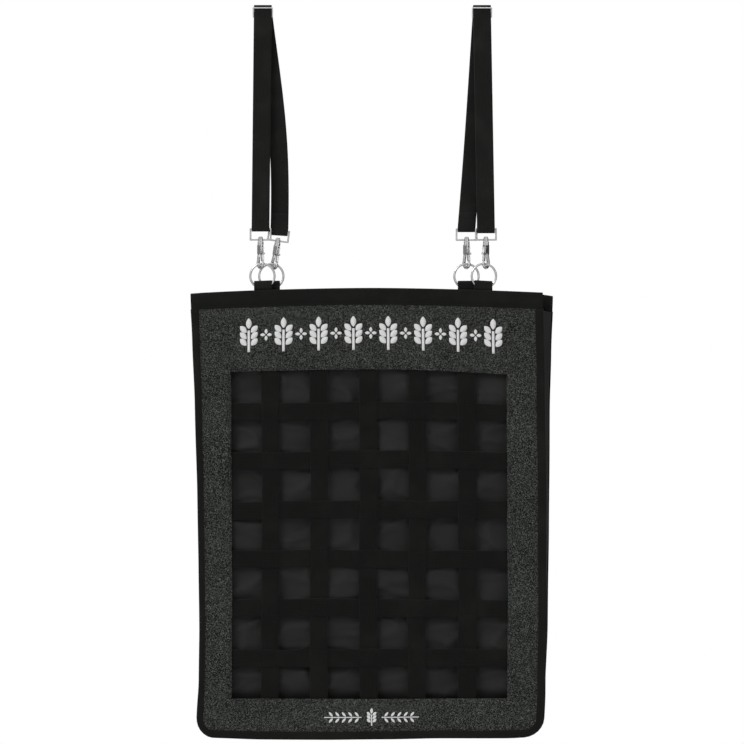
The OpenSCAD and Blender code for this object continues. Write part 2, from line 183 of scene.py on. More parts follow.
def new_object(name, verts, faces, uvs=None):
    mesh = bpy.data.meshes.new(name)
    mesh.from_pydata(verts, [], faces)
    if uvs:
        layer = mesh.uv_layers.new(name="UVMap")
        for loop in mesh.loops:
            layer.data[loop.index].uv = uvs[loop.vertex_index]
    mesh.validate()
    obj = bpy.data.objects.new(name, mesh)
    bpy.context.scene.collection.objects.link(obj)
    for polygon in mesh.polygons:
        polygon.use_smooth = True
    return obj


def thicken(obj, thickness):
    solid = obj.modifiers.new("thickness", "SOLIDIFY")
    solid.thickness = thickness
    solid.offset = 0.0


def surface(name, rows):
    """A sheet through rows of points, some of which may be None where there is a hole. UVs are in metres."""
    index, verts, uvs = {}, [], []
    for i, row in enumerate(rows):
        for j, p in enumerate(row):
            if p is not None:
                index[i, j] = len(verts)
                verts.append(p)
                uvs.append((p.x, p.z))
    faces = []
    for i in range(len(rows) - 1):
        for j in range(len(rows[0]) - 1):
            keys = ((i, j), (i, j + 1), (i + 1, j + 1), (i + 1, j))
            if all(k in index for k in keys):
                faces.append([index[k] for k in keys])
    return new_object(name, verts, faces, uvs)


def sweep(name, stations, section, place):
    """A closed section carried through stations; place(station, point of the section) says where it goes."""
    n = len(section)
    verts, uvs, faces = [], [], []
    girth = [0.0]
    for a, b in zip(section, section[1:]):
        girth.append(girth[-1] + math.dist(a, b))
    length, last = 0.0, None
    for station in stations:
        ring = [place(station, point) for point in section]
        centre = sum(ring, Vector()) / n
        length += (centre - last).length if last else 0.0
        last = centre
        verts += ring
        uvs += [(g, length) for g in girth]
    for i in range(len(stations) - 1):
        for k in range(n):
            a, b = i * n + k, i * n + (k + 1) % n
            faces.append((a, b, b + n, a + n))
    faces.append(tuple(reversed(range(n))))
    faces.append(tuple(range(len(verts) - n, len(verts))))
    return new_object(name, verts, faces, uvs)


def flat_section(width, thickness):
    """The section of a webbing: flat, with rounded woven edges."""
    half, t, edge, steps = width / 2, thickness / 2, thickness * 0.35, 10
    top = [(lerp(-half + edge, half - edge, i / steps), t) for i in range(steps + 1)]
    return [(-half, 0.0), *top, (half, 0.0), *[(x, -y) for x, y in reversed(top)]]


def folded_section(outer, inner):
    """The section of a tape folded over an edge, as (distance in from the edge, distance out).
    outer and inner are the widths of its two leaves."""
    o, e, gap, t = TAPE_FACE, -(SEWN_GAP + BAND_T), TAPE_GAP, BAND_T
    path = [(outer, -o), (outer * 0.5, -o), (1.5 * t, -o), (e * 0.5, -o * 0.86), (e, -o * 0.4), (e, o * 0.4)]
    path += [(e * 0.5, o * 0.86), (1.5 * t, o), (inner * 0.5, o), (inner, o), (inner + 0.2 * t, o - t / 2)]
    path += [(inner, gap), (inner * 0.5, gap), (0, gap), (-SEWN_GAP, 0), (0, -gap)]
    return path + [(outer * 0.5, -gap), (outer, -gap), (outer + 0.2 * t, -gap - t / 2)]


def smooth_path(points, step):
    """Points about step apart on a smooth curve through the given ones."""
    out = []
    ends = [points[0], *points, points[-1]]
    for p0, p1, p2, p3 in zip(ends, ends[1:], ends[2:], ends[3:]):
        n = max(1, round((p2 - p1).length / step))
        for i in range(n):
            t = i / n
            curve = (2 * p0 - 5 * p1 + 4 * p2 - p3) * t * t + (3 * p1 - p0 - 3 * p2 + p3) * t * t * t
            out.append(0.5 * ((2 * p1) + (p2 - p0) * t + curve))
    return [*out, points[-1]]


def ribbon(name, path, side_at):
    """A 25 mm webbing along a path in space; side_at(place) is the direction of its width."""
    stations = []
    for i, p in enumerate(path):
        tangent = (path[min(i + 1, len(path) - 1)] - path[max(i - 1, 0)]).normalized()
        side = side_at(p).normalized()
        stations.append((p, side, side.cross(tangent).normalized()))
    return sweep(name, stations, flat_section(WEB_W, WEB_T), lambda s, q: s[0] + s[1] * q[0] + s[2] * q[1])


THREAD_R = 0.22 * MM
THREAD_SIDES = 5
# The rings of one stitch, as (place along it, thickness, lift): its ends dip into the cloth
STITCH_RINGS = ((-1, 0.35, -0.6), (-0.55, 1, 0.5), (0.55, 1, 0.5), (1, 0.35, -0.6))


def stitches(name, lines, pitch=3.2 * MM, length=2.3 * MM):
    """Rows of thread stitches. Each line is a list of (place, direction out of the cloth)."""
    verts, faces = [], []
    for line in lines:
        run = 0.0
        for (p, n0), (q, n1) in zip(line, line[1:]):
            d = q - p
            while run < d.length:
                up = ((n0 + n1) / 2).normalized() * THREAD_R
                add_stitch(verts, faces, p + d.normalized() * run, d.normalized() * length / 2, up)
                run += pitch
            run -= d.length
    return new_object(name, verts, faces)


def add_stitch(verts, faces, centre, half, up):
    """One stitch: a short closed thread."""
    side = half.normalized().cross(up)
    n, start = THREAD_SIDES, len(verts)
    for at, size, raised in STITCH_RINGS:
        for k in range(n):
            a = math.tau * k / n
            verts.append(centre + half * at + up * (raised + size * math.sin(a)) + side * size * math.cos(a))
    for ring in range(len(STITCH_RINGS) - 1):
        for k in range(n):
            a, b = start + ring * n + k, start + ring * n + (k + 1) % n
            faces.append((a, b, b + n, a + n))
    faces.append(tuple(start + k for k in reversed(range(n))))
    faces.append(tuple(len(verts) - n + k for k in range(n)))


def finish_piece(obj, material, body, slot, *nodes):
    obj.data.materials.append(material)
    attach(obj, body)
    if nodes:
        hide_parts(*nodes)
    return obj


# ---------- Materials ----------

# The wave texture repeats after this much at a scale of 1
WAVE_PERIOD = 0.314159


def add_node(tree, kind, inputs=None, **settings):
    """Adds a node; an input that is a socket is linked, and any other is set."""
    made = tree.nodes.new(kind)
    for key, value in settings.items():
        setattr(made, key, value)
    for key, value in (inputs or {}).items():
        if isinstance(value, bpy.types.NodeSocket):
            tree.links.new(value, made.inputs[key])
        else:
            made.inputs[key].default_value = value
    return made


def ramp(tree, factor, stops):
    """A colour ramp through (position, grey or colour) stops."""
    made = add_node(tree, "ShaderNodeValToRGB", {"Fac": factor})
    elements = made.color_ramp.elements
    while len(elements) < len(stops):
        elements.new(0.5)
    for element, (position, colour) in zip(elements, stops):
        element.position = position
        rgb = colour if isinstance(colour, tuple) else (colour, colour, colour)
        element.color = (*rgb, 1.0)
    return made.outputs["Color"]


def math_node(tree, operation, a, b=0.0):
    return add_node(tree, "ShaderNodeMath", {0: a, 1: b}, operation=operation).outputs[0]


def mixed(tree, factor, a, b, blend="MIX"):
    made = add_node(tree, "ShaderNodeMix", data_type="RGBA", blend_type=blend)
    for socket, value in ((made.inputs[0], factor), (made.inputs[6], a), (made.inputs[7], b)):
        if isinstance(value, bpy.types.NodeSocket):
            tree.links.new(value, socket)
        else:
            socket.default_value = value if socket == made.inputs[0] else (*value, 1.0)
    return made.outputs[2]


def new_material(name):
    material = bpy.data.materials.new(name)
    material.use_nodes = True
    tree = material.node_tree
    return material, tree, tree.nodes["Principled BSDF"]


def coordinates(tree, kind, scale=(1, 1, 1)):
    found = add_node(tree, "ShaderNodeTexCoord").outputs[kind]
    return add_node(tree, "ShaderNodeMapping", {"Vector": found, "Scale": scale}).outputs["Vector"]


def speckle(tree, vector, scale, detail=2.0, **more):
    """A noise texture's value from 0 to 1; more sets its other inputs."""
    inputs = {"Vector": vector, "Scale": scale, "Detail": detail, **more}
    return add_node(tree, "ShaderNodeTexNoise", inputs).outputs["Fac"]


def set_bump(tree, shader, height, distance, strength=1.0):
    bump = add_node(tree, "ShaderNodeBump", {"Height": height, "Distance": distance, "Strength": strength})
    tree.links.new(bump.outputs["Normal"], shader.inputs["Normal"])


def cloth_finish(shader, roughness=0.85, specular=0.1, sheen=0.06):
    shader.inputs["Roughness"].default_value = roughness
    shader.inputs["Specular IOR Level"].default_value = specular
    shader.inputs["Sheen Weight"].default_value = sheen
    shader.inputs["Sheen Roughness"].default_value = 0.45


def weave(tree, vector, across, lengthwise):
    """Height of a plain weave from two sets of yarns with these pitches."""
    uneven = {"Distortion": 0.6, "Detail": 1.0, "Detail Scale": 2.0}
    yarns = []
    for direction, pitch in (("X", across), ("Y", lengthwise)):
        inputs = {"Vector": vector, "Scale": WAVE_PERIOD / pitch, **uneven}
        bands = add_node(tree, "ShaderNodeTexWave", inputs, wave_type="BANDS", bands_direction=direction)
        yarns.append(bands.outputs["Fac"])
    return math_node(tree, "MULTIPLY", yarns[0], yarns[1])


def webbing_material(name, dark, light, across=1.9 * MM, lengthwise=1.3 * MM):
    """Ribbed black webbing: yarn ridges with painted shade in the grooves between them, a little lint and
    wear in patches.
    """
    material, tree, shader = new_material(name)
    place = coordinates(tree, "Object")
    height = weave(tree, coordinates(tree, "UV"), across, lengthwise)
    # Painted shade: the colour darkens from the yarn ridges down into the grooves, following the weave's
    # height
    body = ramp(tree, height, ((0.0, dark), (0.8, light)))
    worn = ramp(tree, speckle(tree, place, 28.0, 4.0), ((0.45, 0.0), (0.75, 0.25)))
    fuzz = ramp(tree, speckle(tree, place, 900.0), ((0.62, 0.0), (0.75, 0.25)))
    paler = tuple(c * 2.2 for c in light)
    colour = mixed(tree, worn, body, paler)
    tree.links.new(mixed(tree, fuzz, colour, paler), shader.inputs["Base Color"])
    set_bump(tree, shader, height, 0.25 * MM)
    cloth_finish(shader)
    return material


def flecked_material():
    """Black cloth with fine worm-like silver-grey flecks."""
    material, tree, shader = new_material("flecked_cloth")
    place = coordinates(tree, "Object")
    worms = speckle(tree, place, 470.0, 1.5, Roughness=0.6, Distortion=0.3)
    ridge = math_node(tree, "ABSOLUTE", math_node(tree, "SUBTRACT", worms, 0.52))
    flecks = ramp(tree, ridge, ((0.008, 1.0), (0.03, 0.0)))
    strength = ramp(tree, speckle(tree, place, 9.0, 3.0), ((0.3, 0.8), (0.7, 1.0)))
    amount = mixed(tree, 1.0, flecks, strength, "MULTIPLY")
    colour = mixed(tree, amount, (0.0045, 0.0049, 0.0044), (0.12, 0.13, 0.118))
    tree.links.new(colour, shader.inputs["Base Color"])
    coarse = math_node(tree, "MULTIPLY", worms, 0.6)
    fine = math_node(tree, "MULTIPLY", speckle(tree, place, 1500.0, 1.0), 0.4)
    set_bump(tree, shader, math_node(tree, "ADD", coarse, fine), 0.3 * MM, 0.7)
    cloth_finish(shader, sheen=0.08)
    return material


def plain_cloth_material(name, dark, light):
    """Thin black woven cloth with soft uneven fading."""
    material, tree, shader = new_material(name)
    height = weave(tree, coordinates(tree, "UV"), 0.7 * MM, 0.7 * MM)
    patches = speckle(tree, coordinates(tree, "Object", (1.0, 0.0, 1.0)), 14.0, 5.0)
    body = mixed(tree, ramp(tree, patches, ((0.35, 0.0), (0.7, 1.0))), dark, light)
    shade = ramp(tree, height, ((0.0, 0.75), (0.7, 1.0)))
    tree.links.new(mixed(tree, 1.0, body, shade, "MULTIPLY"), shader.inputs["Base Color"])
    set_bump(tree, shader, height, 0.1 * MM, 0.6)
    cloth_finish(shader, roughness=0.65, specular=0.22, sheen=0.1)
    return material


def nickel_material(name, colour, rough):
    """Bright plate with cast-in waviness, fine scratches and duller hollows."""
    material, tree, shader = new_material(name)
    place = coordinates(tree, "Object")
    soft = speckle(tree, place, 240.0, 3.0)
    tone = ramp(tree, soft, ((0.3, tuple(0.8 * c for c in colour)), (0.65, colour)))
    tree.links.new(tone, shader.inputs["Base Color"])
    scratches = ramp(tree, speckle(tree, place, 2200.0), ((0.3, rough), (0.8, rough + 0.14)))
    tree.links.new(scratches, shader.inputs["Roughness"])
    shader.inputs["Metallic"].default_value = 1.0
    set_bump(tree, shader, soft, 0.12 * MM, 0.5)
    return material


def print_material():
    """White ink, thin enough in places to show the cloth's grain."""
    material, tree, shader = new_material("white_print")
    grain = speckle(tree, coordinates(tree, "Object"), 1400.0)
    tree.links.new(ramp(tree, grain, ((0.25, 0.34), (0.42, 0.52))), shader.inputs["Base Color"])
    set_bump(tree, shader, grain, 0.08 * MM, 0.6)
    cloth_finish(shader, roughness=0.6, specular=0.3, sheen=0.0)
    return material


def thread_material():
    """Black thread whose twist shows as fine darker bands."""
    material, tree, shader = new_material("black_thread")
    twist = speckle(tree, coordinates(tree, "Object"), 2600.0, 1.0)
    tree.links.new(ramp(tree, twist, ((0.3, 0.005), (0.7, 0.012))), shader.inputs["Base Color"])
    cloth_finish(shader, roughness=0.6, specular=0.12, sheen=0.0)
    return material


# Each webbing's two colours: the lighter is the yarn on its ridges, the darker is painted shade in the
# weave's grooves
STRAP_CLOTH = webbing_material("strap_webbing", (0.004, 0.0038, 0.0036), (0.0105, 0.01, 0.0094))
GRID_CLOTH = webbing_material(
    "grid_webbing", (0.0015, 0.0015, 0.0013), (0.005, 0.005, 0.0045), across=2.1 * MM, lengthwise=1.5 * MM
)
TAPE_CLOTH = webbing_material(
    "binding_tape", (0.003, 0.003, 0.0027), (0.0073, 0.0073, 0.0066), across=1.2 * MM, lengthwise=0.9 * MM
)
FLECKED = flecked_material()
LINING = plain_cloth_material("lining_cloth", (0.0043, 0.0046, 0.0041), (0.007, 0.0074, 0.0066))
GUSSET_CLOTH = plain_cloth_material("gusset_cloth", (0.0056, 0.0056, 0.0056), (0.0098, 0.0098, 0.0095))
NICKEL = nickel_material("bright_nickel", (0.5, 0.5, 0.505), 0.2)
SPRING_STEEL = nickel_material("spring_steel", (0.34, 0.34, 0.36), 0.3)
WHITE = print_material()
THREAD = thread_material()


# ---------- Bag panels ----------


def corner_inset(depth_from_bottom):
    """How far the rounded corner holds the side in, at this height above the bottom edge."""
    if depth_from_bottom >= CORNER_R:
        return 0.0
    rise = CORNER_R - depth_from_bottom
    return CORNER_R - math.sqrt(max(0.0, CORNER_R**2 - rise**2))


def panel_rows(s, hole, step):
    """Rows of points over a panel, with its corners rounded and, if asked, the window left open."""
    bottom = TOP - PANEL_H
    zs = spaced(TOP, WINDOW_TOP, step) + spaced(WINDOW_TOP, WINDOW_LOW, step)[1:]
    zs += spaced(WINDOW_LOW, bottom + CORNER_R, step)[1:]
    zs += [bottom + CORNER_R * (1 - math.sin(math.radians(a))) for a in range(15, 91, 15)]
    half, middle = PANEL_W / 2, s * SHIFT
    xs = spaced(middle - half, WINDOW_LEFT, step) + spaced(WINDOW_LEFT, WINDOW_RIGHT, step)[1:]
    xs += spaced(WINDOW_RIGHT, middle + half, step)[1:]
    rows = []
    for z in zs:
        narrow = 1 - corner_inset(z - bottom) / half
        row = []
        for x in xs:
            open_here = hole and WINDOW_LEFT < x < WINDOW_RIGHT and WINDOW_LOW < z < WINDOW_TOP
            row.append(None if open_here else bag_point(s, middle + (x - middle) * narrow, z, 0.0))
        rows.append(row)
    return rows


DROOP = 4 * MM
DROOP_START = 0.55
DROOP_REACH = 40 * MM


def window_sag(p):
    """The window's upper edge droops at its right end."""
    across = (p.x - WINDOW_LEFT) / (WINDOW_RIGHT - WINDOW_LEFT)
    if not 0 <= across <= 1.05:
        return p
    near = math.exp(-abs(p.z - WINDOW_TOP) / DROOP_REACH)
    droop = DROOP * max(0.0, across - DROOP_START) ** 1.5 / 0.3 * near
    return Vector((p.x, p.y, p.z - droop))


def make_front_panel():
    rows = [[p and window_sag(p) for p in row] for row in panel_rows(-1, True, 6 * MM)]
    obj = surface("front_panel_cloth", rows)
    thicken(obj, FABRIC_T)
    return finish_piece(obj, FLECKED, "bag", "flecked_fabric", "front_panel")


LINING_GAP = 12.5 * MM
CREASES = ((0.45, 41.0), (-0.3, 57.0))


def crumple(x, z):
    """Soft folds of the empty bag's back, seen through the grid. Each crease has a slant and a seed."""
    folds = 5.0 * wave(x, 0, z * 1.4, 0.085, 21.0) + 1.9 * wave(x * 0.8, 0, z * 1.8, 0.04, 31.0)
    for turn, seed in CREASES:
        crease = abs(wave(x * 0.7 + turn * z, 0, z * 1.6 - turn * x, 0.07, seed))
        folds -= 2.4 * max(0.0, 1 - crease * 6) ** 2
    return folds * MM


def closeness(x, z):
    """How fully the back has come forward: 0 at its sewn edges and 1 over its middle."""
    u = abs(x - SHIFT) / (PANEL_W / 2)
    t = (TOP - z) / PANEL_H
    rises = clamped((0.985 - u) / 0.17), clamped((t - 0.03) / 0.13), clamped((0.985 - t) / 0.1)
    return math.prod(r * r * (3 - 2 * r) for r in rises)


def make_back_panel():
    """The back hangs slack: the empty bag is closed in the middle, so the back lies close behind the grid."""
    rows = []
    for row in panel_rows(1, False, 4 * MM):
        new_row = []
        for p in row:
            close = -MOUTH_Y - (TOP - p.z) * math.tan(LEAN) + LINING_GAP + crumple(p.x, p.z)
            new_row.append(Vector((p.x, lerp(p.y, close, closeness(p.x, p.z)), p.z)))
        rows.append(new_row)
    obj = surface("back_panel_cloth", rows)
    thicken(obj, FABRIC_T)
    return finish_piece(obj, LINING, "bag", "back_fabric", "back_panel")


# ---------- Edges: bands, bindings, gussets ----------


OUTLINE_STEP = 7 * MM


def corner_stations(x, z, angles):
    """Stations round a panel's corner, whose middle is at (x, z)."""
    turns = [(math.cos(math.radians(a)), math.sin(math.radians(a))) for a in angles]
    return [(x + CORNER_R * c, z + CORNER_R * n, -c, -n) for c, n in turns]


def outline_stations(s, start_below_top):
    """(x, z, inward x, inward z) down the left side, round the bottom and up the right side of a panel."""
    left, right = s * SHIFT - PANEL_W / 2, s * SHIFT + PANEL_W / 2
    top, bottom, r = TOP - start_below_top, TOP - PANEL_H, CORNER_R
    stations = [(left, z, 1, 0) for z in spaced(top, bottom + r, OUTLINE_STEP)]
    stations += corner_stations(left + r, bottom + r, range(195, 271, 15))
    stations += [(x, bottom, 0, 1) for x in spaced(left + r, right - r, OUTLINE_STEP)[1:]]
    stations += corner_stations(right - r, bottom + r, range(285, 361, 15))
    stations += [(right, z, -1, 0) for z in spaced(bottom + r, top, OUTLINE_STEP)[1:]]
    return stations


def make_binding(s, name, node):
    section = folded_section(BINDING_W, BINDING_W * 0.8)

    def place(station, q):
        x, z, nx, nz = station
        return bag_point(s, x + nx * q[0], z + nz * q[0], -q[1])

    obj = sweep(name, outline_stations(s, BAND_H - 1 * MM), section, place)
    return finish_piece(obj, TAPE_CLOTH, "bag", "binding_tape", node)


BAND_OVERHANG = 0.6 * MM


def make_top_band(s, name, node):
    middle, half = s * SHIFT, PANEL_W / 2 + BAND_OVERHANG
    stations = spaced(middle - half, middle + half, 6 * MM)
    section = folded_section(BAND_H, BAND_H)
    obj = sweep(name, stations, section, lambda x, q: bag_point(s, x, TOP - q[0], -q[1]))
    return finish_piece(obj, TAPE_CLOTH, "bag", "binding_tape", node)


GUSSET_T = 1 * MM
GUSSET_INSET = 0.5 * MM
GUSSET_DEPTH = -1 * MM
GUSSET_TUCK = 9 * MM
GUSSET_COLUMNS = 12


def gusset_edge(s, station):
    x, z, nx, nz = station
    return bag_point(s, x + nx * GUSSET_INSET, z + nz * GUSSET_INSET, GUSSET_DEPTH)


def gusset_point(front, back, share):
    """A place across the gusset, from the front panel's edge (0) to the back's (1), tucked in between."""
    a, b = gusset_edge(-1, front), gusset_edge(1, back)
    tuck = (1 - abs(2 * share - 1) ** 1.5) * min(GUSSET_TUCK, 0.24 * (b - a).length)
    return a.lerp(b, share) + Vector((front[2], 0, front[3])) * tuck


def make_gussets():
    fronts, backs = outline_stations(-1, BAND_H), outline_stations(1, BAND_H)
    pairs = list(zip(fronts, backs))
    side = sum(1 for f in fronts if f[2] == 1 and f[3] == 0)
    parts = (
        ("gusset_left", pairs[:side]),
        ("gusset_bottom", pairs[side - 1 : len(pairs) - side + 1]),
        ("gusset_right", pairs[len(pairs) - side :]),
    )
    made = []
    for node, stations in parts:
        shares = [k / GUSSET_COLUMNS for k in range(GUSSET_COLUMNS + 1)]
        rows = [[gusset_point(*pair, share) for share in shares] for pair in stations]
        obj = surface(f"{node}_cloth", rows)
        thicken(obj, GUSSET_T)
        made.append(finish_piece(obj, GUSSET_CLOTH, "bag", "back_fabric", node))
    return made


# ---------- The woven grid ----------

WEAVE_LIFT = 0.8 * MM
WEAVE_REACH = 19 * MM
GRID_OUT = -2.1 * MM
GRID_STEP = 5 * MM
# Noise seeds for the strips' wander and for their curling edges
UPRIGHT_DRIFT, CROSS_DRIFT, UPRIGHT_CURL, CROSS_CURL = 13.0, 17.0, 2.0, 4.0
# Cross strips take their noise from later rows than the uprights
CROSS_ROW = 9


def centre_of(box, axis):
    return (box[0][axis] + box[1][axis]) / 2


UPRIGHT_XS = [centre_of(b, 0) for b in UPRIGHTS]
CROSS_ZS = [centre_of(b, 2) for b in CROSSES]


def lift(at, crossings, first):
    """Height of a strip that passes over and under its crossings in turn."""
    total = 0.0
    for k, c in enumerate(crossings):
        sign = 1 if (k + first) % 2 else -1
        total += sign * math.exp(-(((at - c) / WEAVE_REACH) ** 2))
    return total * WEAVE_LIFT


def drift(index, at, seed):
    """Sideways wander of a strip along its length, in a long and a short wave."""
    return 2.0 * MM * wave(at, index * 3.7, 0, 0.16, seed) + 0.9 * MM * wave(at, index * 5.1, 0, 0.045, seed)


def waver(index, at, side, seed):
    """How much of its width a strip keeps at one of its two edges: slack webbing curls a little."""
    return 1 - 0.13 * max(0.0, wave(at, index * 2.3, side, 0.05, seed))


def grid_place(x, z, out):
    p = bag_point(-1, x, z, GRID_OUT + out)
    return window_sag(p) if z > WINDOW_TOP - 60 * MM else p


def make_upright(n):
    x0 = UPRIGHT_XS[n - 1]

    def place(z, q):
        half = q[0] * waver(n, z, math.copysign(1, q[0]), UPRIGHT_CURL)
        x = x0 + drift(n, z, UPRIGHT_DRIFT) + half
        return grid_place(x, z, lift(z, CROSS_ZS, n) + q[1])

    stations = spaced(UPRIGHTS[0][1][2], UPRIGHTS[0][0][2], GRID_STEP)
    obj = sweep(f"grid_upright_strip_{n}", stations, flat_section(WEB_W, BAND_T), place)
    return finish_piece(obj, GRID_CLOTH, "bag", "grid_webbing", f"grid_upright_{n}")


def make_cross(n):
    z0 = CROSS_ZS[n - 1]

    def place(x, q):
        half = q[0] * waver(n, x, math.copysign(1, q[0]), CROSS_CURL)
        z = z0 + drift(n + CROSS_ROW, x, CROSS_DRIFT) + half
        return grid_place(x, z, lift(x, UPRIGHT_XS, n + 1) + q[1])

    stations = spaced(CROSSES[0][0][0], CROSSES[0][1][0], GRID_STEP)
    obj = sweep(f"grid_cross_strip_{n}", stations, flat_section(WEB_W, BAND_T), place)
    return finish_piece(obj, GRID_CLOTH, "bag", "grid_webbing", f"grid_cross_{n}")


def crossing_square(x, z):
    """A sewn square round a crossing, on the outer face."""
    half = WEB_W / 2 - 3 * MM
    corners = [(-half, -half), (half, -half), (half, half), (-half, half), (-half, -half)]
    line = []
    for (ax, az), (bx, bz) in zip(corners, corners[1:]):
        for t in (0.0, 0.25, 0.5, 0.75):
            place = grid_place(x + lerp(ax, bx, t), z + lerp(az, bz, t), WEAVE_LIFT + BAND_T / 2)
            line.append((place, Vector((0, -1, 0))))
    return [*line, line[0]]


def crossing_stitches():
    lines = []
    for i, x in enumerate(UPRIGHT_XS):
        for k, z in enumerate(CROSS_ZS):
            moved_x = x + drift(i + 1, z, UPRIGHT_DRIFT)
            lines.append(crossing_square(moved_x, z + drift(k + 1 + CROSS_ROW, x, CROSS_DRIFT)))
    obj = stitches("grid_crossing_stitches", lines, 3 * MM, 2.2 * MM)
    return finish_piece(obj, THREAD, "bag", "grid_webbing")


# ---------- Seams ----------


def panel_line(s, points, out):
    """A stitch line on a panel's outer face, from places on the flat panel."""
    return [(bag_point(s, x, z, out), Vector((0, s, 0))) for x, z in points]


def edge_stitches(s, side):
    """Two rows along a panel's top band and one round its binding."""
    middle, half = s * SHIFT, PANEL_W / 2 - 3 * MM
    xs = spaced(middle - half, middle + half, 6 * MM)
    low_row, high_row = TOP - BAND_H + 2.2 * MM, TOP - 3.5 * MM
    inset = BINDING_W - 2 * MM
    edge = [(x + nx * inset, z + nz * inset) for x, z, nx, nz in outline_stations(s, BAND_H + 1 * MM)]
    places = [(x, low_row) for x in xs], [(x, high_row) for x in xs], edge
    obj = stitches(f"{side}_edge_stitches", [panel_line(s, points, TAPE_FACE) for points in places])
    return finish_piece(obj, THREAD, "bag", "binding_tape")


def window_stitches():
    """One row round the window, just outside its edge."""
    hem, step = 4 * MM, 8 * MM
    left, right, top, low = WINDOW_LEFT - hem, WINDOW_RIGHT + hem, WINDOW_TOP + hem, WINDOW_LOW - hem
    loop = [(left, z) for z in spaced(top, low, step)] + [(x, low) for x in spaced(left, right, step)]
    loop += [(right, z) for z in spaced(low, top, step)] + [(x, top) for x in spaced(right, left, step)]
    line = [(window_sag(p), n) for p, n in panel_line(-1, loop, CLOTH_FACE)]
    return finish_piece(stitches("window_edge_stitches", [line]), THREAD, "bag", "flecked_fabric")


# ---------- Straps ----------

RIGHT = Vector((1, 0, 0))
# How far the fold in each eye hangs below the eye's bar, more than the webbing's own room
LOOP_SLACK = {"front_left": 1 * MM, "back_left": 5 * MM, "back_right": 1.6 * MM, "front_right": 3.4 * MM}
# How far each strap's back leg bows to the right, and how much of the back eye's tilt its foot takes
BACK_LEG_BOW = {"left": 7.6 * MM, "right": 0.8 * MM}
BACK_TWIST = 0.45
# The lowest part of a strap, over which its webbing turns from level to the eye's tilt
TWIST_LENGTH = 300 * MM
LEG_FOOT = 2 * MM
DOUBLED_GAP = 0.25 * MM
TURN_R = 1.9 * MM


def bar_frame(corner):
    """An eye's top bar: its place, its own direction and the direction down the chain."""
    joint = JOINTS[f"eye_{corner}_tilt"]
    side = Vector(joint["axis"])
    return Vector(joint["pos_m"]), side, Vector((0, 1, 0)).cross(side)


def by_bar(corner, y, up):
    """A place beside an eye's bar: y behind it, up above it."""
    at, _, down = bar_frame(corner)
    return at + Vector((0, y, 0)) - down * up


def eye_fold(corner):
    """The webbing's way round an eye's bar: from behind it, under it and up in front."""
    turns = [math.radians(a) for a in range(0, -181, -15)]
    slack = LOOP_SLACK[corner]
    return [by_bar(corner, EYE_FOLD_R * math.cos(a), EYE_FOLD_R * math.sin(a) - slack) for a in turns]


def strap_x(side):
    return centre_of(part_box(f"slider_{side}"), 0)


def back_leg_point(side, t):
    """A place on the back leg, which bows sideways on its way from the rail (0) down to the eye (1)."""
    top = Vector((strap_x(side), RAIL_FOLD_R, 0))
    low = by_bar(f"back_{side}", EYE_FOLD_R, LEG_FOOT)
    return top.lerp(low, t) + Vector((BACK_LEG_BOW[side] * math.sin(math.pi * t**1.2), 0, 0))


def back_foot_side(side):
    """Direction of the webbing's width at the back leg's foot."""
    return RIGHT.lerp(bar_frame(f"back_{side}")[1], BACK_TWIST)


def strap_path(side):
    """From behind the front eye, round it, up over the rail, down round the back eye and doubled there."""
    front, back = f"front_{side}", f"back_{side}"
    top = arc(strap_x(side), 0, 0, RAIL_FOLD_R, range(180, -1, -10))
    front_low, back_low = by_bar(front, -EYE_FOLD_R, LEG_FOOT), by_bar(back, EYE_FOLD_R, LEG_FOOT)
    doubled = Vector((0, -WEB_T - DOUBLED_GAP, 0))
    path = [by_bar(front, EYE_FOLD_R, 8 * MM), by_bar(front, EYE_FOLD_R, LEG_FOOT)]
    path += [*eye_fold(front), front_low, *[front_low.lerp(top[0], t) for t in spaced(0.04, 0.98, 0.05)]]
    path += [*top, *[back_leg_point(side, t) for t in spaced(0.02, 0.97, 0.04)], back_low]
    path += [*eye_fold(back), by_bar(back, -EYE_FOLD_R, 1.5 * MM)]
    return path + [back_leg_point(side, t) + doubled for t in (0.96, 0.945, 0.93)]


def make_strap(side):
    front_foot, back_foot = bar_frame(f"front_{side}")[1], back_foot_side(side)

    def side_at(p):
        return RIGHT.lerp(back_foot if p.y > 0 else front_foot, clamped(-p.z / TWIST_LENGTH))

    obj = ribbon(f"strap_{side}_webbing", strap_path(side), side_at)
    return finish_piece(obj, STRAP_CLOTH, "hangers", "strap_webbing", f"strap_{side}")


def make_turn(side):
    """The strap's end, sewn round the slider's middle bar. Returns its foot behind the front leg."""
    down = Vector(JOINTS[f"slider_{side}_slide"]["axis"])
    low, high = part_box(f"slider_{side}")
    bar = Vector((strap_x(side), high[1] - SLIDER_BAR_R, low[2] + SLIDER_BAR_R + SLIDER_STEP))
    sewn = bar + Vector((0, TURN_R - 2.3 * MM, 0))
    behind_leg = bar + Vector((0, 0.1 * MM - TURN_R, 0))
    foot = behind_leg + down * 16 * MM
    path = [sewn - Vector((0, 0, 20 * MM)), sewn - Vector((0, 0, 13 * MM))]
    path += [bar + Vector((0, TURN_R, -6.5 * MM)), *arc(*bar, TURN_R, range(0, 181, 15))]
    path += [behind_leg + down * 6 * MM, behind_leg + down * 11 * MM, foot]
    obj = ribbon(f"strap_turn_{side}_webbing", path, lambda p: RIGHT)
    finish_piece(obj, STRAP_CLOTH, f"slider_{side}", "strap_webbing")
    return foot


def make_tail(side, start):
    """The run behind the front leg from the turn's foot down to the eye."""
    end = by_bar(f"front_{side}", EYE_FOLD_R, 8.1 * MM)
    path = [start.lerp(end, t) for t in spaced(0.0, 1.0, 0.05)]
    obj = ribbon(f"strap_tail_{side}_webbing", path, lambda p: RIGHT)
    finish_piece(obj, STRAP_CLOTH, "hangers", "strap_webbing", f"strap_tail_{side}")
    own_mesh(obj)


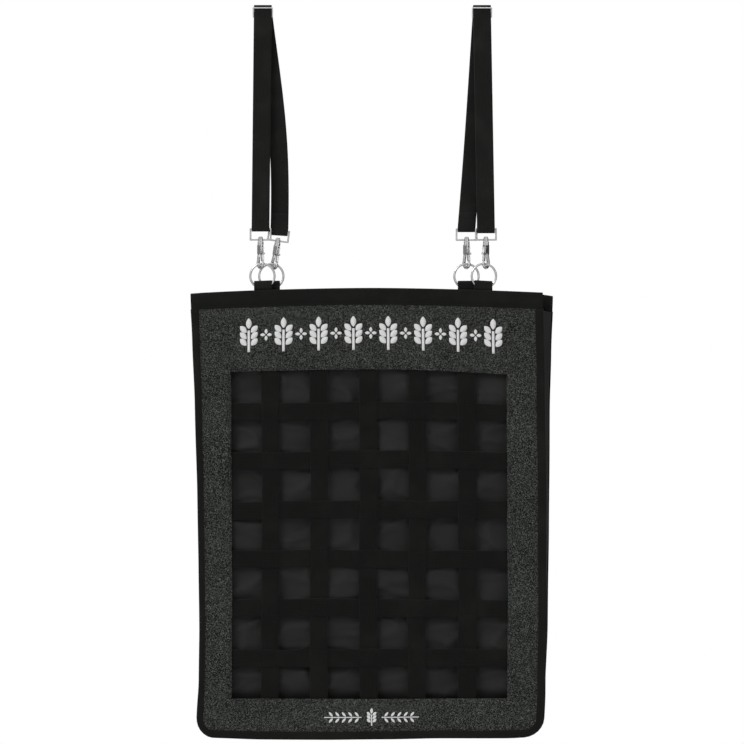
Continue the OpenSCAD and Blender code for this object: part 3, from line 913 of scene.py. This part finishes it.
def strap_stitches():
    """Rows across the doubled webbing above each back eye, on both of its faces."""
    lines = []
    for side in ("left", "right"):
        across = back_foot_side(side) * 10 * MM
        for t in (0.957, 0.95, 0.936):
            centre = back_leg_point(side, t)
            for depth, out in ((WEB_T / 2, 1), (-1.5 * WEB_T - DOUBLED_GAP, -1)):
                row, face = centre + Vector((0, depth, 0)), Vector((0, out, 0))
                lines.append([(row - across, face), (row + across, face)])
    return finish_piece(stitches("strap_stitches", lines), THREAD, "hangers", "strap_webbing")


# ---------- Tabs ----------

# How far each tab's webbing is turned from level, in degrees
TAB_TILT = {"front_left": 2.0, "back_left": 0.5, "back_right": 0.5, "front_right": -3.0}
TAB_CROWN = 3.3 * MM
TAB_R = 1.9 * MM + WEB_T / 2
# Where the two leaves of a tab start to close below the ring, and where they have met
TAB_NECK_Z = -391.8 * MM
TAB_CLOSE_Z = -395.8 * MM
LEAF_OUT = WEB_T / 2 + 0.02 * MM
TAB_LEAD = 1.6 * MM


def make_tab(corner):
    """A webbing loop through the ring: round over the wire, closed below it and sewn inside the band."""
    low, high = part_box(f"tab_{corner}")
    x, y = centre_of((low, high), 0), centre_of(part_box(f"ring_{corner}"), 1)
    crown, end = high[2] - TAB_CROWN, low[2]
    lead = -TAB_LEAD if corner.startswith("front") else TAB_LEAD

    def leaf(side):
        wide, near = y + side * TAB_R, y + side * LEAF_OUT
        places = [(wide, lerp(crown, TAB_NECK_Z, 0.5)), (wide, TAB_NECK_Z), (near, TAB_CLOSE_Z)]
        places += [(near + lead, z) for z in (TAB_CLOSE_Z - 5 * MM, lerp(TAB_CLOSE_Z, end, 0.6), end)]
        return [Vector((x, place_y, z)) for place_y, z in places]

    over = arc(x, y, crown, TAB_R, range(0, 181, 15))
    path = smooth_path([*reversed(leaf(1)), *over, *leaf(-1)], 1.5 * MM)
    tilt = math.radians(TAB_TILT[corner])
    tilted = Vector((math.cos(tilt), 0, math.sin(tilt)))
    obj = ribbon(f"tab_{corner}_webbing", path, lambda p: tilted)
    return finish_piece(obj, STRAP_CLOTH, "bag", "strap_webbing", f"tab_{corner}")


# ---------- White print: a generic row of hay sprigs ----------

INK_T = 0.08 * MM
INK_OUT = CLOTH_FACE + 0.12 * MM
ROW_SPRIGS = 8
ROW_LEFT, ROW_RIGHT = -172 * MM, 170 * MM
ROW_LOW, ROW_HEIGHT = TOP - 85 * MM, 47 * MM
MARK_Z = TOP - PANEL_H + 30 * MM


def leaf_rows(cx, cz, angle, length, width, steps=10):
    """A pointed leaf on the flat panel, from its foot at (cx, cz) towards angle."""
    c, n = math.cos(angle), math.sin(angle)
    rows = []
    for i in range(steps + 1):
        t = i / steps
        half = width / 2 * math.sin(math.pi * min(1.0, t * 0.97 + 0.015)) ** 0.75
        x, z = cx + c * t * length, cz + n * t * length
        rows.append([(x - n * w * half, z + c * w * half) for w in (-1, 0, 1)])
    return rows


def stem_rows(x0, z0, x1, z1, width, steps=8):
    d = Vector((x1 - x0, z1 - z0)).normalized() * width / 2
    rows = []
    for i in range(steps + 1):
        x, z = lerp(x0, x1, i / steps), lerp(z0, z1, i / steps)
        rows.append([(x - d.y * w, z + d.x * w) for w in (-1, 0, 1)])
    return rows


def sprig(cx, low, height, bold):
    """An upright ear in bold strokes: a stalk, three pairs of slanting grains and one grain on top."""
    shapes = [stem_rows(cx, low, cx, low + height * 0.64, bold * 0.45)]
    for k in range(3):
        z = low + height * (0.2 + 0.19 * k)
        for side in (-1, 1):
            angle = math.pi / 2 - side * math.radians(44)
            shapes.append(leaf_rows(cx + side * bold * 0.42, z, angle, height * 0.27, bold))
    shapes.append(leaf_rows(cx, low + height * 0.69, math.pi / 2, height * 0.31, bold))
    return shapes


def four_petals(x, z):
    shapes = []
    for angle in (0, math.pi / 2, math.pi, 1.5 * math.pi):
        foot_x, foot_z = x + 1.2 * MM * math.cos(angle), z + 1.2 * MM * math.sin(angle)
        shapes.append(leaf_rows(foot_x, foot_z, angle, 7 * MM, 4.4 * MM, 6))
    return shapes


def leafy_stem(side):
    """A level stem with five pairs of leaves, to one side of the small mark."""
    shapes = [stem_rows(side * 14 * MM, MARK_Z, side * 66 * MM, MARK_Z, 1.3 * MM, 14)]
    for k in range(5):
        foot = side * (18 + 9 * k) * MM
        for up in (-1, 1):
            slant = up * (math.pi / 2 - side * 0.7)
            shapes.append(leaf_rows(foot, MARK_Z + up * 1.2 * MM, slant, 8 * MM, 3.2 * MM, 6))
    return shapes


def printed(name, shapes):
    """Thin ink lying on the front cloth."""
    verts, faces = [], []
    for rows in shapes:
        start, wide = len(verts), len(rows[0])
        for row in rows:
            verts += [window_sag(bag_point(-1, x, z, INK_OUT)) for x, z in row]
        for i in range(len(rows) - 1):
            for j in range(wide - 1):
                a = start + i * wide + j
                faces.append((a, a + wide, a + wide + 1, a + 1))
    obj = new_object(name, verts, faces)
    thicken(obj, INK_T)
    return finish_piece(obj, WHITE, "bag", "flecked_fabric")


def print_sprig_row():
    shapes, gaps = [], ROW_SPRIGS - 1
    for k in range(ROW_SPRIGS):
        shapes += sprig(lerp(ROW_LEFT, ROW_RIGHT, k / gaps), ROW_LOW, ROW_HEIGHT, 8 * MM)
        if k < gaps:
            shapes += four_petals(lerp(ROW_LEFT, ROW_RIGHT, (k + 0.5) / gaps), ROW_LOW + ROW_HEIGHT / 2)
    return printed("print_sprig_row", shapes)


def print_small_mark():
    shapes = sprig(0.0, MARK_Z - 12 * MM, 25 * MM, 4 * MM)
    return printed("print_small_mark", [*shapes, *leafy_stem(-1), *leafy_stem(1)])


# ---------- Hardware keeps its CAD shape ----------


def finish_hardware():
    for name, obj in frame["nodes"].items():
        if name.startswith(("ring_", "eye_", "snap_", "gate_", "rivet_", "slider_", "spring_")):
            obj.data.materials.clear()
            obj.data.materials.append(SPRING_STEEL if name.startswith("spring_") else NICKEL)


# ---------- Camera, light and floor ----------

VIEW_WIDTH = 1.0416
CAMERA_DISTANCE = 6.0
FLOOR_Z = -1.32
FLOOR_R = 2.6
FLOOR_RISE_R = 2.1
FLOOR_RINGS = 24
FLOOR_SIDES = 64


def make_camera():
    data = bpy.data.cameras.new("camera")
    data.sensor_width = 36
    data.lens = data.sensor_width * CAMERA_DISTANCE / VIEW_WIDTH
    camera = bpy.data.objects.new("camera", data)
    camera.location = (0.0007, -CAMERA_DISTANCE, -0.5084)
    camera.rotation_euler = (math.pi / 2, 0, 0)
    bpy.context.scene.collection.objects.link(camera)
    bpy.context.scene.camera = camera


def make_light(name, place, size, power):
    """A square soft light turned to the object's middle."""
    data = bpy.data.lights.new(name, "AREA")
    data.shape = "SQUARE"
    data.size = size
    data.energy = power
    light = bpy.data.objects.new(name, data)
    light.location = place
    light.rotation_euler = (Vector((0, 0, -0.55)) - Vector(place)).to_track_quat("-Z", "Y").to_euler()
    bpy.context.scene.collection.objects.link(light)


def make_studio():
    """A soft dome, brighter towards one side, that the camera sees as plain white, and four lights."""
    world = bpy.data.worlds.new("studio")
    bpy.context.scene.world = world
    world.use_nodes = True
    tree = world.node_tree
    background = tree.nodes["Background"]
    direction = add_node(tree, "ShaderNodeTexCoord").outputs["Generated"]
    bright = {0: direction, 1: (-0.35, -0.6, 0.72)}
    towards = add_node(tree, "ShaderNodeVectorMath", bright, operation="DOT_PRODUCT").outputs["Value"]
    span = {"Value": towards, "From Min": -1.0, "From Max": 1.0}
    share = add_node(tree, "ShaderNodeMapRange", span).outputs[0]
    soft = ramp(tree, share, ((0.0, 0.05), (0.4, 0.12), (0.58, 0.5), (0.85, 1.0)))
    seen = add_node(tree, "ShaderNodeLightPath").outputs["Is Camera Ray"]
    tree.links.new(mixed(tree, seen, soft, (1.0, 1.0, 1.0)), background.inputs["Color"])
    make_light("key", (-1.9, -2.3, 1.3), 1.2, 52)
    make_light("fill", (2.4, -2.0, -0.2), 1.6, 12)
    make_light("top", (0.3, 0.6, 2.2), 1.2, 18)
    make_light("back", (-1.0, 3.0, 0.4), 1.6, 20)
    bpy.context.scene.view_settings.view_transform = "Standard"


def make_floor():
    """A round pale floor well below the hanging bag, with softly rising edges."""
    rows = []
    for ring in range(FLOOR_RINGS + 1):
        r = FLOOR_R * ring / FLOOR_RINGS
        z = FLOOR_Z + 0.12 * max(0.0, r - FLOOR_RISE_R) ** 2
        turns = [math.tau * k / FLOOR_SIDES for k in range(FLOOR_SIDES + 1)]
        rows.append([Vector((r * math.cos(a), r * math.sin(a), z)) for a in turns])
    obj = surface("studio_floor", rows)
    material, tree, shader = new_material("pale_floor")
    grain = speckle(tree, coordinates(tree, "Object"), 60.0)
    tree.links.new(ramp(tree, grain, ((0.3, 0.8), (0.7, 0.86))), shader.inputs["Base Color"])
    shader.inputs["Roughness"].default_value = 0.9
    obj.data.materials.append(material)


# ---------- Build ----------

make_camera()
front_cloth = make_front_panel()
back_cloth = make_back_panel()
left_gusset, bottom_gusset, right_gusset = make_gussets()
front_band = make_top_band(-1, "front_band_webbing", "front_top_band")
back_band = make_top_band(1, "back_band_webbing", "back_top_band")
front_tape = make_binding(-1, "front_binding_tape", "front_binding")
back_tape = make_binding(1, "back_binding_tape", "back_binding")
for number in range(1, 6):
    make_upright(number)
for number in range(1, 7):
    make_cross(number)
crossing_stitches()
edge_stitches(-1, "front")
edge_stitches(1, "back")
window_stitches()
print_sprig_row()
print_small_mark()
for strap_side in ("left", "right"):
    make_strap(strap_side)
    make_tail(strap_side, make_turn(strap_side))
strap_stitches()
for corner_name in CORNERS:
    make_tab(corner_name)
finish_hardware()

make_studio()
make_floor()
